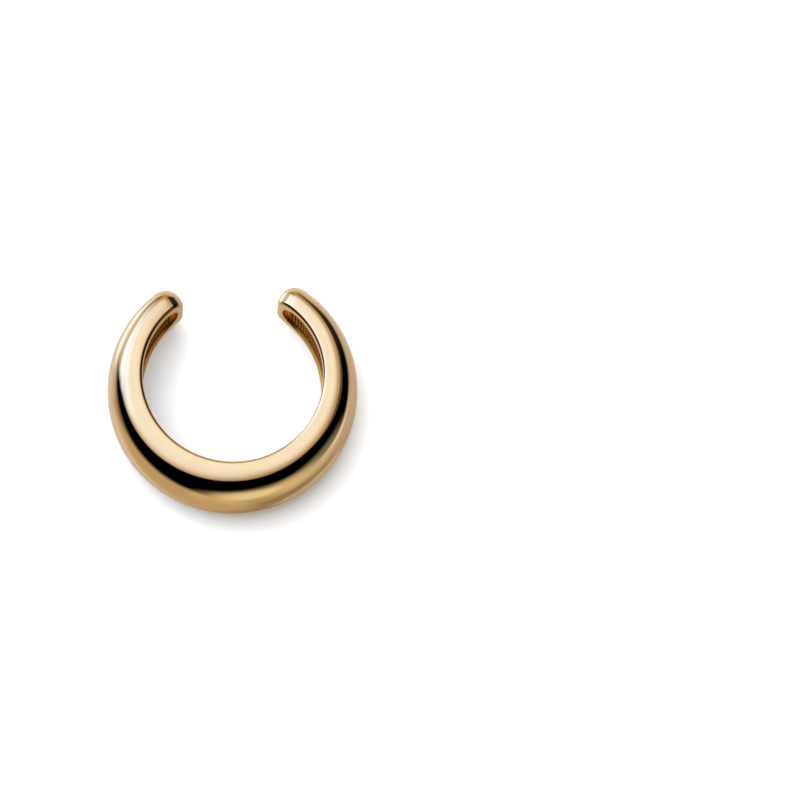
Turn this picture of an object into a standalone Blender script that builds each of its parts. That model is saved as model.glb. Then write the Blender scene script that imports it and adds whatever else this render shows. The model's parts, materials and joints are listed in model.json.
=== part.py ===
"""Ear cuff: an open, domed ring of cast and polished yellow metal, one solid piece.

It lies on its side with the ring's axis upright. The thick belly points to -Y and the
mouth, where the ear slips in, to +Y. Inside, a shallow channel runs from tip to tip.
"""

import math

import bmesh
import bpy

MM = 0.001

# The ring, seen along its axis
OUTER_RADIUS = 6.75 * MM
HOLE_RADIUS = 4.85 * MM
HOLE_OFFSET = 0.40 * MM  # the hole sits nearer the mouth, which leaves the belly thickest
MOUTH_HALF_ANGLE = math.radians(28.2)

# The width, along the ring's axis
WIDTH = 4.20 * MM
TIP_WIDTH = 3.30 * MM
TAPER_START = math.radians(100.0)  # from the belly, on either side
TAPER_POWER = 1.5

# The cross-section: a flat inner wall, rounded inner edges, a narrow flat land, then the dome
INNER_EDGE_ROUND = 0.22 * MM
SIDE_LAND = 0.33 * MM
DOME_FULLNESS = 2.32  # 2 is an ellipse, and a larger value is squarer in the shoulders

# The rounding of the two tips, towards the outside, the hole and either side
TIP_OUTER_ROUND = 0.90 * MM
TIP_INNER_ROUND = 0.30 * MM
TIP_SIDE_ROUND = 0.95 * MM

# The channel in the inner wall
CHANNEL_DEPTH = 0.20 * MM
CHANNEL_RIM = 0.55 * MM  # from either side of the ring to the channel
CHANNEL_STOP = 0.42 * MM  # from a tip's end to the channel
CHANNEL_CORNER = 0.90 * MM  # the rounding in plan of the channel's two ends
CUTTER_REACH = 0.60 * MM  # how far the cutter stands out of the inner wall

# The most of the wall or half width that each rounding may take up
EDGE_LIMIT = 0.40
LAND_LIMIT = 0.60
TIP_INNER_LIMIT = 0.30
TIP_OUTER_LIMIT = 0.62
TIP_SIDE_LIMIT = 0.60
CHANNEL_CORNER_LIMIT = 0.85

# How finely the curves are divided, and the angle from which an edge is drawn sharp
RING_STEP = math.radians(4.0)
EDGE_STEPS = 4
TIP_STEPS = 7
DOME_STEPS = 8  # from the side to the crown
SHARP_ANGLE = math.radians(40.0)

END_ANGLE = math.pi - MOUTH_HALF_ANGLE
TIP_RADIUS = (OUTER_RADIUS + HOLE_RADIUS) / 2


def hole_distance(angle):
    """Distance from the ring's centre to the inner wall, at an angle from the belly."""
    along = HOLE_OFFSET * math.cos(angle)
    across = HOLE_OFFSET * math.sin(angle)
    return math.sqrt(HOLE_RADIUS ** 2 - across ** 2) - along


def half_width(angle):
    """Half the ring's width at an angle from the belly: even, then narrower towards the tips."""
    share = max(0.0, abs(angle) - TAPER_START) / (END_ANGLE - TAPER_START)
    return (WIDTH - (WIDTH - TIP_WIDTH) * share ** TAPER_POWER) / 2


def ring_point(angle, distance, height):
    """A point at an angle from the belly, a distance from the axis and a height over mid-width."""
    return (distance * math.sin(angle), -distance * math.cos(angle), height)


def round_ratios(steps):
    """Sine and cosine at even steps of a quarter turn, both ends included."""
    turns = [math.pi / 2 * step / steps for step in range(steps + 1)]
    return [(math.sin(turn), math.cos(turn)) for turn in turns]


def drawn_in(gap, radius):
    """How far a surface with an end rounding of that radius is drawn in, a gap before its end."""
    rise = max(0.0, radius - gap)
    return radius - math.sqrt(radius ** 2 - rise ** 2)


def section_profile(thickness, half):
    """The cross-section as (depth from the inner wall, height) pairs, lower inner edge first."""
    edge = min(INNER_EDGE_ROUND, EDGE_LIMIT * thickness)
    dome_start = min(edge + SIDE_LAND, LAND_LIMIT * thickness)
    dome_depth = thickness - dome_start
    power = 2 / DOME_FULLNESS
    lower = [
        (edge * (1 - cosine), edge * (1 - sine) - half)
        for sine, cosine in round_ratios(EDGE_STEPS)
    ]
    lower += [
        (dome_start + dome_depth * sine ** power, -half * cosine ** power)
        for sine, cosine in round_ratios(DOME_STEPS)[:-1]
    ]
    upper = [(depth, -height) for depth, height in reversed(lower)]
    return lower + [(thickness, 0.0)] + upper


def section_ring(angle):
    """The cross-section in place at an angle, drawn in where it is near a tip's end."""
    inner = hole_distance(angle)
    thickness = OUTER_RADIUS - inner
    half = half_width(angle)
    gap = (END_ANGLE - abs(angle)) * TIP_RADIUS
    from_hole = drawn_in(gap, min(TIP_INNER_ROUND, TIP_INNER_LIMIT * thickness))
    from_outside = drawn_in(gap, min(TIP_OUTER_ROUND, TIP_OUTER_LIMIT * thickness))
    from_side = drawn_in(gap, min(TIP_SIDE_ROUND, TIP_SIDE_LIMIT * half))
    depth_scale = 1 - (from_hole + from_outside) / thickness
    height_scale = 1 - from_side / half
    return [
        ring_point(angle, inner + from_hole + depth * depth_scale, height * height_scale)
        for depth, height in section_profile(thickness, half)
    ]


def channel_ring(angle, last_angle):
    """The channel cutter's four-cornered section in place at an angle."""
    inner = hole_distance(angle)
    gap = (last_angle - abs(angle)) * HOLE_RADIUS
    full = half_width(angle) - CHANNEL_RIM
    half = full - drawn_in(gap, min(CHANNEL_CORNER, CHANNEL_CORNER_LIMIT * full))
    corners = (
        (inner - CUTTER_REACH, -half),
        (inner + CHANNEL_DEPTH, -half),
        (inner + CHANNEL_DEPTH, half),
        (inner - CUTTER_REACH, half),
    )
    return [ring_point(angle, distance, height) for distance, height in corners]


def ring_angles(last_angle, rounding, steps):
    """Angles from one end to the other, closer together over the rounding at both ends."""
    full_angle = last_angle - rounding
    tip = [full_angle + rounding * sine for sine, _ in round_ratios(steps)]
    count = 2 * math.ceil(full_angle / RING_STEP)
    arc = [full_angle * (2 * step / count - 1) for step in range(1, count)]
    return [-angle for angle in reversed(tip)] + arc + tip


def lofted_object(name, rings):
    """A closed solid through a row of rings of points, capped at its first and last ring."""
    shape = bmesh.new()
    loops = []
    for ring in rings:
        verts = [shape.verts.new(point) for point in ring]
        loops.append([shape.edges.new((verts[i - 1], verts[i])) for i in range(len(verts))])
    for near, far in zip(loops, loops[1:]):
        bmesh.ops.bridge_loops(shape, edges=near + far)
    for loop in (loops[0], loops[-1]):
        bmesh.ops.contextual_create(shape, geom=loop)
    bmesh.ops.recalc_face_normals(shape, faces=shape.faces)
    mesh = bpy.data.meshes.new(name)
    shape.to_mesh(mesh)
    shape.free()
    made = bpy.data.objects.new(name, mesh)
    bpy.context.scene.collection.objects.link(made)
    return made


def yellow_gold():
    """Polished yellow gold."""
    material = bpy.data.materials.new("polished yellow gold")
    material.use_nodes = True
    shader = material.node_tree.nodes["Principled BSDF"]
    shader.inputs["Base Color"].default_value = (0.93, 0.70, 0.40, 1.0)
    shader.inputs["Metallic"].default_value = 1.0
    shader.inputs["Roughness"].default_value = 0.12
    return material


def centre_on_origin(made):
    """Moves an object so that its box stands on the origin at the middle of its base."""
    points = [vert.co for vert in made.data.vertices]
    for axis in (0, 1):
        values = [point[axis] for point in points]
        made.location[axis] = -(min(values) + max(values)) / 2
    made.location[2] = -min(point[2] for point in points)


def build_cuff():
    """The ring itself, with tips rounded over and the channel cut into its inner wall."""
    tip_angles = ring_angles(END_ANGLE, TIP_OUTER_ROUND / TIP_RADIUS, TIP_STEPS)
    cuff = lofted_object("cuff", [section_ring(angle) for angle in tip_angles])
    channel_end = END_ANGLE - CHANNEL_STOP / HOLE_RADIUS
    channel_angles = ring_angles(channel_end, CHANNEL_CORNER / HOLE_RADIUS, TIP_STEPS)
    channel = lofted_object(
        "channel cutter",
        [channel_ring(angle, channel_end) for angle in channel_angles],
    )
    channel.parent = cuff
    channel.hide_render = True
    channel.display_type = "WIRE"
    cut = cuff.modifiers.new("channel", "BOOLEAN")
    cut.object = channel
    cuff.data.materials.append(yellow_gold())
    cuff.data.shade_smooth()
    cuff.data.set_sharp_from_angle(angle=SHARP_ANGLE)
    centre_on_origin(cuff)


for existing in list(bpy.data.objects):
    bpy.data.objects.remove(existing)
build_cuff()
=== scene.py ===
"""Ear cuff of polished yellow gold, lying on its side on a white surface."""

import json
import math

import bmesh
import bpy
from mathutils import Euler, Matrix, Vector

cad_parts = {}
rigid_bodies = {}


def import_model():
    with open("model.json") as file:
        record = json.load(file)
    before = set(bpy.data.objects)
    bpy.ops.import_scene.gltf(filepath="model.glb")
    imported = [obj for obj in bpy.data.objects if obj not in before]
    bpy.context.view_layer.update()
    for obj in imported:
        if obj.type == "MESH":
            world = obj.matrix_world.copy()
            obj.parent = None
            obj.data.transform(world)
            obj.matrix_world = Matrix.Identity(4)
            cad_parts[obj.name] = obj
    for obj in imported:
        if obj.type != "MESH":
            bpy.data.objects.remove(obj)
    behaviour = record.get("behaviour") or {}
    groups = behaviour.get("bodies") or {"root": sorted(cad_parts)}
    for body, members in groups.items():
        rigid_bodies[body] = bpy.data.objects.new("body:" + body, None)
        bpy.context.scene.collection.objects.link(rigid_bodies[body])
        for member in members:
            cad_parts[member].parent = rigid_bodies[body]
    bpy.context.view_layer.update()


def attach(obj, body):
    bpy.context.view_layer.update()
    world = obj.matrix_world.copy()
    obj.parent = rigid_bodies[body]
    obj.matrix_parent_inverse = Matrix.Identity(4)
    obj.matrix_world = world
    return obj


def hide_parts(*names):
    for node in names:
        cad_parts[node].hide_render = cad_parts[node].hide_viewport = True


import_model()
bpy.ops.object.select_all(action="DESELECT")

# The camera
# It looks down on the cuff from high up on the side of the belly, with the mouth away from it.
# The cuff lies to the left of the middle of the picture.
MM = 0.001
CAMERA_TILT = math.radians(15.7)  # from straight down
CAMERA_LEAN = math.radians(2.2)
CAMERA_TURN = math.radians(2.0)
CAMERA_DISTANCE = 400 * MM
PICTURE_WIDTH = 43.2 * MM  # at the cuff
PICTURE_PIXELS = 800
RING_CENTRE = Vector((0, 0.5825, 2.1)) * MM
RING_PIXEL = (232.6, 391.0)  # where the ring's centre falls in the picture

camera_data = bpy.data.cameras.new("camera")
camera_data.lens = camera_data.sensor_width * CAMERA_DISTANCE / PICTURE_WIDTH
camera_data.clip_start = 10 * MM
camera_data.clip_end = 20.0
camera = bpy.data.objects.new("camera", camera_data)
bpy.context.scene.collection.objects.link(camera)
camera.rotation_euler = Euler((CAMERA_TILT, -CAMERA_LEAN, -CAMERA_TURN))
right, up, back = camera.rotation_euler.to_matrix().transposed()
pixel = PICTURE_WIDTH / PICTURE_PIXELS
aim = RING_CENTRE
aim = aim + right * (PICTURE_PIXELS / 2 - RING_PIXEL[0]) * pixel
aim = aim - up * (PICTURE_PIXELS / 2 - RING_PIXEL[1]) * pixel
camera.location = aim + back * CAMERA_DISTANCE
bpy.context.scene.camera = camera
bpy.context.scene.view_settings.view_transform = "Standard"


# The floor
# A wide sheet of white paper. The metal doesn't mirror it: the light below the horizon stands
# for it there, so that the paper can be as bright as a white background is.
class Signal:
    """A shader socket. Arithmetic on it adds the Math nodes that work the result out."""

    def __init__(self, socket):
        self.socket = socket

    def worked_out(self, operation, *values):
        return node(self.socket.id_data, "ShaderNodeMath", {"operation": operation}, values)

    def __add__(self, other):
        return self.worked_out("ADD", self, other)

    def __radd__(self, other):
        return self.worked_out("ADD", other, self)

    def __sub__(self, other):
        return self.worked_out("SUBTRACT", self, other)

    def __rsub__(self, other):
        return self.worked_out("SUBTRACT", other, self)

    def __mul__(self, other):
        return self.worked_out("MULTIPLY", self, other)

    def __rmul__(self, other):
        return self.worked_out("MULTIPLY", other, self)


def node(tree, kind, settings=None, values=(), output=0):
    """Adds a node: its settings first, then its sockets' values or signals, by place or name."""
    made = tree.nodes.new(kind)
    for name, value in (settings or {}).items():
        setattr(made, name, value)
    named = values.items() if isinstance(values, dict) else enumerate(values)
    for name, value in named:
        if isinstance(value, Signal):
            tree.links.new(value.socket, made.inputs[name])
        else:
            made.inputs[name].default_value = value
    return Signal(made.outputs[output])


def eased(value, low, high):
    """A smooth rise from 0 to 1 as a signal goes from low to high."""
    settings = {"interpolation_type": "SMOOTHSTEP"}
    return node(value.socket.id_data, "ShaderNodeMapRange", settings, (value, low, high, 0.0, 1.0))


def object_place(tree, scale):
    """The place on the piece, in units of its own millimetres times a scale."""
    place = node(tree, "ShaderNodeTexCoord", output=3)
    spread = (scale / MM, scale / MM, scale / MM)
    return node(tree, "ShaderNodeMapping", None, {"Vector": place, "Scale": spread})


def between(tree, share, first, second):
    """A colour between two others, by a share from 0 to 1."""
    colours = {0: share, 6: (*first, 1.0), 7: (*second, 1.0)}
    return node(tree, "ShaderNodeMix", {"data_type": "RGBA"}, colours, output=2)


PAPER_SIZE = 3.0
PAPER_TONES = ((0.785, 0.80, 0.82), (0.805, 0.82, 0.84))

bpy.ops.mesh.primitive_plane_add(size=PAPER_SIZE)
floor = bpy.context.object
floor.name = "white_paper"
paper = bpy.data.materials.new("white paper")
paper.use_nodes = True
paper_tree = paper.node_tree
paper_shader = paper_tree.nodes["Principled BSDF"]
fibre = node(
    paper_tree, "ShaderNodeTexNoise", None,
    {"Vector": object_place(paper_tree, 1.5), "Scale": 1.0, "Detail": 3.0},
)
paper_colour = between(paper_tree, fibre, *PAPER_TONES)
paper_tree.links.new(paper_colour.socket, paper_shader.inputs["Base Color"])
paper_shader.inputs["Roughness"].default_value = 0.9
paper_shader.inputs["Specular IOR Level"].default_value = 0.2
floor.data.materials.append(paper)
floor.visible_glossy = False


# The light
# One very large soft light hangs behind the mouth and to its left, and the room on the side of
# the belly is dark. The metal mirrors its edge, which draws the black line round the cuff.
def direction(azimuth, elevation):
    """The unit vector towards a light, with the azimuth counted from +X towards +Y, in degrees."""
    around = math.radians(azimuth)
    above = math.radians(elevation)
    level = math.cos(above)
    return Vector((level * math.cos(around), level * math.sin(around), math.sin(above)))


world = bpy.data.worlds.new("studio")
bpy.context.scene.world = world
world.use_nodes = True
studio = world.node_tree
studio.nodes.clear()
looking = node(studio, "ShaderNodeTexCoord")
parts = node(studio, "ShaderNodeSeparateXYZ", None, (looking,)).socket.node.outputs
toward_x, toward_y, toward_z = (Signal(socket) for socket in parts)


def nearness(azimuth, elevation):
    """The cosine of the angle between the direction that is looked in and a given one."""
    x, y, z = direction(azimuth, elevation)
    return toward_x * x + toward_y * y + toward_z * z


def within(light_nearness, outer, inner):
    """A round patch of light: 0 outside one angle from its middle, and 1 inside another."""
    return eased(light_nearness, math.cos(math.radians(outer)), math.cos(math.radians(inner)))


# What limits a light: the floor's edge, the horizon, and the first card, which hides the paper
EVERYWHERE = 1.0
above_floor = eased(toward_z, -0.20, -0.17)
below_horizon = 1 - eased(toward_z, -0.29, 0.09)
paper_in_sight = below_horizon * (1 - within(nearness(288, -17), 44, 25))

# Each light's azimuth and elevation, the angles from its middle at which it ends and at which it
# is full, all in degrees, its colour, and what limits it
lights = (
    # The large softbox, its bright middle, its far corner and its lower edge
    (116, 60, 49, 45, (0.43, 0.30, 0.15), above_floor),
    (132, 64, 43, 2, (0.57, 0.76, 0.99), above_floor),
    (40, 59, 26, 20, (0.11, 0.09, 0.08), above_floor),
    (142, 41, 32, 18, (0.08, 0.22, 0.60), above_floor),
    (150, 27, 19, 13, (0.37, 0.41, 0.54), above_floor),
    (137, 15, 27, 19, (0.54, 0.56, 0.55), above_floor),
    (83, -13, 38, 23, (0.46, 0.33, 0.20), above_floor),
    (75, 23, 49, 5, (0.03, 0.03, 0.03), above_floor),
    # Three small cards in front, on the side of the belly
    (288, -12, 50, 16, (0.47, 0.37, 0.21), EVERYWHERE),
    (321, -3, 41, 4, (0.23, 0.22, 0.17), EVERYWHERE),
    (277, 1, 27, 2, (0.34, 0.36, 0.30), EVERYWHERE),
    # The paper: all of it, and the places that the softbox and the cards light most
    (0, -90, 180, 90, (0.31, 0.23, 0.14), paper_in_sight),
    (116, -40, 65, 2, (0.46, 0.47, 0.49), below_horizon),
    (134, -25, 20, 9, (0.36, 0.60, 0.95), below_horizon),
    (26, -20, 62, 2, (0.26, 0.25, 0.26), below_horizon),
    (350, 22, 39, 30, (0.58, 0.56, 0.51), below_horizon),
    (227, -38, 48, 32, (0.22, 0.18, 0.11), below_horizon),
    (335, -66, 14, 8, (0.19, 0.18, 0.14), below_horizon),
)
total = None
for azimuth, elevation, outer, inner, colour, limit in lights:
    patch = within(nearness(azimuth, elevation), outer, inner) * limit
    shine = node(studio, "ShaderNodeBackground", None, ((*colour, 1.0), patch))
    total = shine if total is None else node(studio, "ShaderNodeAddShader", None, (total, shine))

# The camera itself sees plain white beyond the paper
plain = node(studio, "ShaderNodeBackground", None, ((1.0, 1.0, 1.0, 1.0), 1.0))
from_camera = node(studio, "ShaderNodeLightPath")
seen = node(studio, "ShaderNodeMixShader", None, (from_camera, total, plain))
studio.links.new(seen.socket, studio.nodes.new("ShaderNodeOutputWorld").inputs["Surface"])

# A soft disc that lights the paper and draws the cuff's shadow on it. The metal doesn't mirror it.
OVERHEAD_SIDE = direction(140, 74)
OVERHEAD_DISTANCE = 0.7
overhead_data = bpy.data.lights.new("overhead", "AREA")
overhead_data.shape = "DISK"
overhead_data.size = 1.4
overhead_data.energy = 16.0
overhead = bpy.data.objects.new("overhead", overhead_data)
bpy.context.scene.collection.objects.link(overhead)
overhead.location = OVERHEAD_SIDE * OVERHEAD_DISTANCE
overhead.rotation_euler = OVERHEAD_SIDE.to_track_quat("Z", "Y").to_euler()
overhead.visible_glossy = False


# The cuff
# The whole jewel is one piece of metal with a polished yellow gold surface, cast as an open ring
# with a domed outside, thickest at the belly, and nothing is fixed to it. It is modelled as a
# straight bar in millimetres, rounded at its tips, let in for the channel, and then bent round.
OUTER_RADIUS = 6.75
HOLE_RADIUS = 4.85
HOLE_OFFSET = 0.40
END_ANGLE = math.radians(180 - 28.2)
BEND_RADIUS = (OUTER_RADIUS + HOLE_RADIUS) / 2
CROWN = BEND_RADIUS - OUTER_RADIUS
WIDTH = 4.20
TIP_WIDTH = 3.30
TAPER_START = math.radians(100)
TAPER_POWER = 1.5
INNER_EDGE = 0.22
INNER_EDGE_STEPS = 6
LAND = 0.33
DOME_STEPS = 20
DOME_FULLNESS = 0.55  # 0.5 is an ellipse, and a larger value is squarer in the shoulders
TIP_OUTER_ROUND = 0.90
TIP_INNER_ROUND = 0.30
TIP_SIDE_ROUND = 0.95
TIP_STEPS = 14
CHANNEL_RIM = 0.55
CHANNEL_DEPTH = 0.20
CHANNEL_CORNER = 0.90
CHANNEL_CORNER_LIMIT = 0.85  # of the channel's half width
CHANNEL_LIP = 0.05
CHANNEL_TIP_STEPS = 4  # how many steps of the tip's rounding the channel reaches into
STUD_PITCH = 0.215
STUD_ROWS = 5
STUD_FOOT = (0.025, 0.060)  # how far in from its cell a stud starts, and how high it stands
STUD_TOP = (0.015, 0.020)  # the slope round its top, inwards and upwards
PLAIN_END = 0.42  # from the channel's ends to the first studs
CLOSE = 1e-4
NEAR_WALL = 0.02  # how far the middle of a face may lie from the curve of its wall
LIP_ANGLE = math.radians(60)  # the least bend at the edge between the inner wall and the channel
SHARP_ANGLE = math.radians(48)
OUTSIDE, RECESS, GAPS, STUDS = range(4)  # the slots of the four finishes


def inner_wall(angle):
    """How high the inner wall of the straight bar lies at an angle of the finished ring."""
    across = HOLE_OFFSET * math.sin(angle)
    distance = math.sqrt(HOLE_RADIUS ** 2 - across ** 2) - HOLE_OFFSET * math.cos(angle)
    return BEND_RADIUS - distance


def half_width(angle):
    """Half the ring's width at an angle: even, then narrower towards the tips."""
    share = max(0.0, angle - TAPER_START) / (END_ANGLE - TAPER_START)
    return (WIDTH - (WIDTH - TIP_WIDTH) * share ** TAPER_POWER) / 2


def drawn_in(gap, radius):
    """How far a rounding of that radius draws a surface in, a gap before its end."""
    rise = max(0.0, radius - gap)
    return radius - math.sqrt(radius ** 2 - rise ** 2)


def pick(kind, wanted):
    """In edit mode, selects only the verts, edges or faces that are wanted."""
    bpy.ops.mesh.select_mode(type={"verts": "VERT", "edges": "EDGE", "faces": "FACE"}[kind])
    bpy.ops.mesh.select_all(action="DESELECT")
    shape = bmesh.from_edit_mesh(bpy.context.object.data)
    for part in getattr(shape, kind):
        if wanted(part):
            part.select_set(True)
    shape.select_flush_mode()
    bmesh.update_edit_mesh(bpy.context.object.data)


def stretch(factors, centre):
    """Scales what is selected about a place."""
    bpy.ops.transform.resize(value=factors, center_override=centre)


# The section of the bar at the belly: a plane with its four corners rounded over
belly_wall = inner_wall(0)
dome_line = belly_wall - INNER_EDGE - LAND
half = WIDTH / 2
bpy.ops.mesh.primitive_plane_add(
    size=1,
    location=(0, (belly_wall + dome_line - half) / 2, 0),
    rotation=(0, math.pi / 2, 0),
)
cuff = bpy.context.object
cuff.name = "polished_cuff"
cuff.scale = (WIDTH, belly_wall - dome_line + half, 1)
bpy.ops.object.transform_apply(location=True, rotation=True, scale=True)
bpy.ops.object.mode_set(mode="EDIT")
pick("verts", lambda vert: vert.co.y > 0)
bpy.ops.mesh.bevel(
    offset=INNER_EDGE, segments=INNER_EDGE_STEPS, profile=0.5, affect="VERTICES"
)
pick("verts", lambda vert: vert.co.y < 0)
bpy.ops.mesh.bevel(
    offset=half, segments=DOME_STEPS, profile=DOME_FULLNESS, affect="VERTICES"
)
bpy.ops.mesh.select_all(action="SELECT")
bpy.ops.mesh.remove_doubles(threshold=CLOSE)
pick("verts", lambda vert: vert.co.y < dome_line - CLOSE)
stretch((1, (dome_line - CROWN) / half, 1), (0, dome_line, 0))

# The flat inner wall is divided in three, with the channel's strip in the middle
pick("edges", lambda edge: all(vert.co.y > belly_wall - CLOSE for vert in edge.verts))
bpy.ops.mesh.subdivide(number_cuts=2)
pick("verts", lambda vert: vert.co.y > belly_wall - CLOSE and abs(vert.co.z) < half / 2)
third = (half - INNER_EDGE) / 3
stretch((1, 1, (half - CHANNEL_RIM) / third), (0, belly_wall, 0))

# The bar: the section is drawn out step by step to one tip, and thinned and narrowed as it goes
rounding = TIP_OUTER_ROUND / BEND_RADIUS
main_steps = round((END_ANGLE - rounding) * (HOLE_RADIUS + CHANNEL_DEPTH) / STUD_PITCH)
angles = [(END_ANGLE - rounding) * step / main_steps for step in range(main_steps + 1)]
angles += [
    END_ANGLE - rounding * (1 - math.sin(math.pi / 2 * step / TIP_STEPS))
    for step in range(1, TIP_STEPS + 1)
]
for before, angle in zip(angles, angles[1:]):
    pick("faces", lambda face: abs(face.calc_center_median().x - before * BEND_RADIUS) < CLOSE)
    bpy.ops.mesh.extrude_region_move(
        TRANSFORM_OT_translate={"value": ((angle - before) * BEND_RADIUS, 0, 0)}
    )
    place = angle * BEND_RADIUS
    old_line = inner_wall(before) - INNER_EDGE - LAND
    new_line = inner_wall(angle) - INNER_EDGE - LAND
    spread = half_width(angle) - half_width(before)
    for side in (1, -1):
        pick("verts", lambda vert: abs(vert.co.x - place) < CLOSE
             and vert.co.y > old_line - CLOSE and vert.co.z * side > 0)
        bpy.ops.transform.translate(value=(0, new_line - old_line, side * spread))
    pick("verts", lambda vert: abs(vert.co.x - place) < CLOSE and vert.co.y < old_line - CLOSE)
    thinner = (new_line - CROWN) / (old_line - CROWN)
    stretch((1, thinner, half_width(angle) / half_width(before)), (place, CROWN, 0))

# The strip is narrowed to the channel's rounded ends, and the tip is rounded over
channel_end = angles[main_steps + CHANNEL_TIP_STEPS]
for angle in angles:
    place = angle * BEND_RADIUS
    wall = inner_wall(angle)
    full = half_width(angle)
    strip = full - CHANNEL_RIM
    corner = min(CHANNEL_CORNER, CHANNEL_CORNER_LIMIT * strip)
    gap = (channel_end - angle) * HOLE_RADIUS
    if -CLOSE < gap < corner:
        pick("verts", lambda vert: abs(vert.co.x - place) < CLOSE
             and vert.co.y > wall - CLOSE and abs(vert.co.z) < strip + CLOSE)
        stretch((1, 1, 1 - drawn_in(max(gap, 0), corner) / strip), (place, wall, 0))
    gap = (END_ANGLE - angle) * BEND_RADIUS
    if gap < TIP_SIDE_ROUND:
        from_hole = drawn_in(gap, TIP_INNER_ROUND)
        thinned = from_hole + drawn_in(gap, TIP_OUTER_ROUND)
        depth = wall - CROWN
        fixed = wall - depth * from_hole / thinned if thinned else wall
        pick("verts", lambda vert: abs(vert.co.x - place) < CLOSE)
        stretch(
            (1, 1 - thinned / depth, 1 - drawn_in(gap, TIP_SIDE_ROUND) / full),
            (place, fixed, 0),
        )

# The other half is its mirror image
pick("faces", lambda face: abs(face.calc_center_median().x) < CLOSE)
bpy.ops.mesh.delete(type="FACE")
bpy.ops.object.mode_set(mode="OBJECT")
mirror = cuff.modifiers.new("other half", "MIRROR")
mirror.merge_threshold = CLOSE
bpy.ops.object.modifier_apply(modifier=mirror.name)


# The channel: the strip between the two rims is let in, and its edge is eased over
def in_strip(place):
    """Whether the middle of a face lies on the inner wall between the two rims."""
    angle = abs(place.x) / BEND_RADIUS
    on_wall = abs(place.y - inner_wall(angle)) < NEAR_WALL
    return on_wall and angle < channel_end and abs(place.z) < CLOSE


def on_lip(edge):
    """Whether an edge is a sharp one between the inner wall and the channel's sides."""
    first = edge.verts[0].co
    return (len(edge.link_faces) == 2 and edge.calc_face_angle() > LIP_ANGLE
            and first.y > inner_wall(abs(first.x) / BEND_RADIUS) - CHANNEL_DEPTH / 2
            and abs(first.z) < half)


bpy.ops.object.mode_set(mode="EDIT")
pick("faces", lambda face: in_strip(face.calc_center_median()))
bpy.ops.mesh.extrude_region_move(TRANSFORM_OT_translate={"value": (0, -CHANNEL_DEPTH, 0)})
for _ in (OUTSIDE, RECESS, GAPS, STUDS):
    bpy.ops.object.material_slot_add()
cuff.active_material_index = RECESS
bpy.ops.mesh.select_more()
bpy.ops.object.material_slot_assign()
pick("edges", on_lip)
bpy.ops.mesh.bevel(offset=CHANNEL_LIP, segments=3, profile=0.5, affect="EDGES")


# The studs cast on the channel's floor, in rows round the ring with plain gaps between the rows
def on_floor(place):
    """Whether a place lies at the level of the channel's floor."""
    level = inner_wall(abs(place.x) / BEND_RADIUS) - CHANNEL_DEPTH
    return abs(place.y - level) < NEAR_WALL


def crosses_floor(edge):
    """Whether an edge runs straight across the channel's floor, from side to side."""
    first, second = (vert.co for vert in edge.verts)
    return (on_floor(first) and on_floor(second) and abs(first.z) > CLOSE
            and abs(first.z + second.z) < CLOSE and abs(first.x - second.x) < CLOSE)


def in_studded_part(face):
    """Whether a face lies on the channel's floor, away from its plain ends."""
    middle = face.calc_center_median()
    before_plain_end = abs(middle.x) / BEND_RADIUS < channel_end - PLAIN_END / HOLE_RADIUS
    return face.normal.y > 0.9 and on_floor(middle) and before_plain_end


pick("edges", crosses_floor)
bpy.ops.mesh.subdivide(number_cuts=2 * STUD_ROWS)
pick("faces", in_studded_part)
cuff.active_material_index = GAPS
bpy.ops.object.material_slot_assign()
columns = {}
for face in bmesh.from_edit_mesh(cuff.data).faces:
    if face.select:
        middle = face.calc_center_median()
        columns.setdefault(round(middle.x, 3), []).append((middle.z, face.index))
cells = {index for column in columns.values() for _, index in sorted(column)[1::2]}
pick("faces", lambda face: face.index in cells)
for inwards, upwards in (STUD_FOOT, STUD_TOP):
    bpy.ops.mesh.inset(thickness=inwards, depth=upwards, use_individual=True)
cuff.active_material_index = STUDS
bpy.ops.object.material_slot_assign()

# The bar is bent round into the ring
bpy.ops.mesh.select_all(action="SELECT")
bpy.ops.mesh.normals_make_consistent(inside=False)
bpy.ops.object.mode_set(mode="OBJECT")
bend = cuff.modifiers.new("bend", "SIMPLE_DEFORM")
bend.deform_method = "BEND"
bend.deform_axis = "Z"
bend.angle = 2 * END_ANGLE
bpy.ops.object.modifier_apply(modifier=bend.name)
cuff.scale = (MM, MM, MM)
cuff.location = RING_CENTRE - Vector((0, BEND_RADIUS, 0)) * MM
bpy.ops.object.transform_apply(location=True, rotation=True, scale=True)
bpy.ops.object.shade_smooth_by_angle(angle=SHARP_ANGLE)


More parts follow.
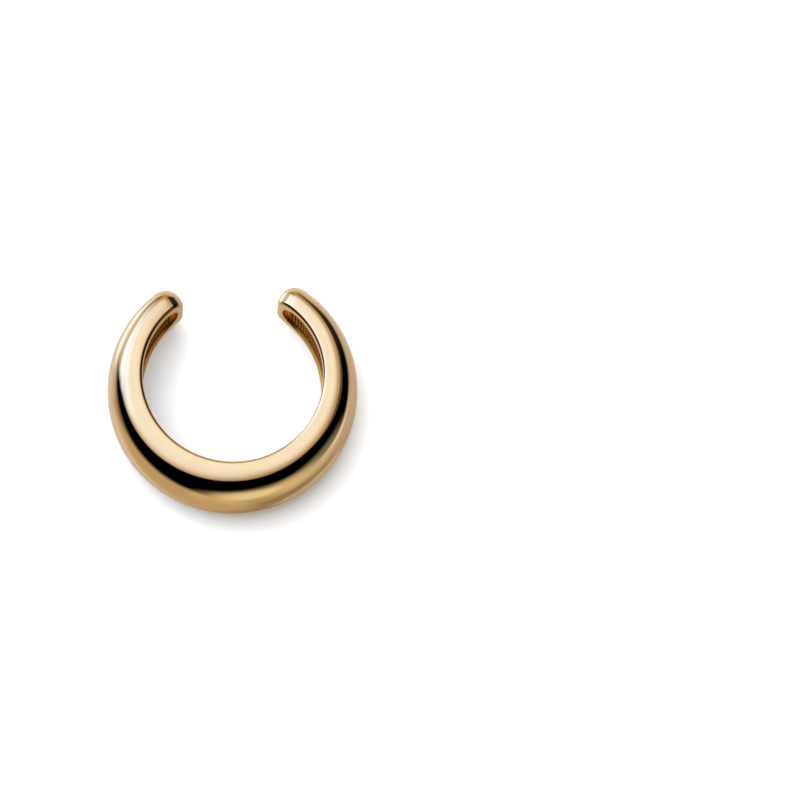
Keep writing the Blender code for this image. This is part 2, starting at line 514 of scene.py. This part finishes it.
def gold_finish(name, colours, roughness, bump):
    """Yellow gold with fine unevenness: two close colours, a range of roughness and a bump depth."""
    finish = bpy.data.materials.new(name)
    finish.use_nodes = True
    tree = finish.node_tree
    shader = tree.nodes["Principled BSDF"]
    fine = node(
        tree, "ShaderNodeTexNoise", None,
        {"Vector": object_place(tree, 6.0), "Scale": 1.0, "Detail": 4.0, "Roughness": 0.6},
    )
    slow = node(
        tree, "ShaderNodeTexNoise", None,
        {"Vector": object_place(tree, 0.9), "Scale": 1.0, "Detail": 2.0, "Roughness": 0.5},
    )
    patches = eased(slow, 0.35, 0.65)
    tone = between(tree, patches, *colours)
    low, high = roughness
    dullness = low + (high - low) * (0.6 * fine + 0.4 * patches)
    relief = node(
        tree, "ShaderNodeBump", None,
        {"Strength": 1.0, "Distance": bump * MM, "Height": slow + 0.12 * fine},
    )
    tree.links.new(tone.socket, shader.inputs["Base Color"])
    tree.links.new(dullness.socket, shader.inputs["Roughness"])
    tree.links.new(relief.socket, shader.inputs["Normal"])
    shader.inputs["Metallic"].default_value = 1.0
    return finish


# The outside is polished. Inside the channel the casting is duller, and its colours hold painted
# light: orange for painted bounce light in the recess, darkest in the gaps for painted shade between
# the studs, and lighter on the smoother stud tops for a painted highlight.
polished = gold_finish(
    "polished gold", ((0.935, 0.73, 0.46), (0.945, 0.75, 0.48)), (0.03, 0.09), 0.002
)
# Painted bounce light: the recess gold is a deep orange that stands in for light bouncing round the
# channel.
recess = gold_finish(
    "recess gold with painted bounce light", ((0.95, 0.56, 0.12), (0.98, 0.62, 0.16)), (0.28, 0.45), 0.010
)
# Painted shade: the gold between the studs is made dark brown to stand in for the shade between
# them.
gaps = gold_finish(
    "painted shade between the studs", ((0.20, 0.07, 0.01), (0.32, 0.12, 0.02)), (0.35, 0.55), 0.012
)
# Painted highlight: the stud tops are lighter and smoother than the gaps, and their lighter orange
# colour stands in for the light and bounce light on them.
studs = gold_finish(
    "stud tops with painted highlight", ((0.86, 0.52, 0.17), (0.93, 0.62, 0.25)), (0.10, 0.22), 0.004
)
# Painted bounce light: a warm orange edge tint on the channel's three finishes stands in for light
# bounced round the recess.
PAINTED_BOUNCE_TINT = (0.9, 0.5, 0.2, 1.0)
for finish in (recess, gaps, studs):
    shader = finish.node_tree.nodes["Principled BSDF"]
    shader.inputs["Specular Tint"].default_value = PAINTED_BOUNCE_TINT
cuff.data.materials[OUTSIDE] = polished
cuff.data.materials[RECESS] = recess
cuff.data.materials[GAPS] = gaps
cuff.data.materials[STUDS] = studs
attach(cuff, "root")
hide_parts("cuff")
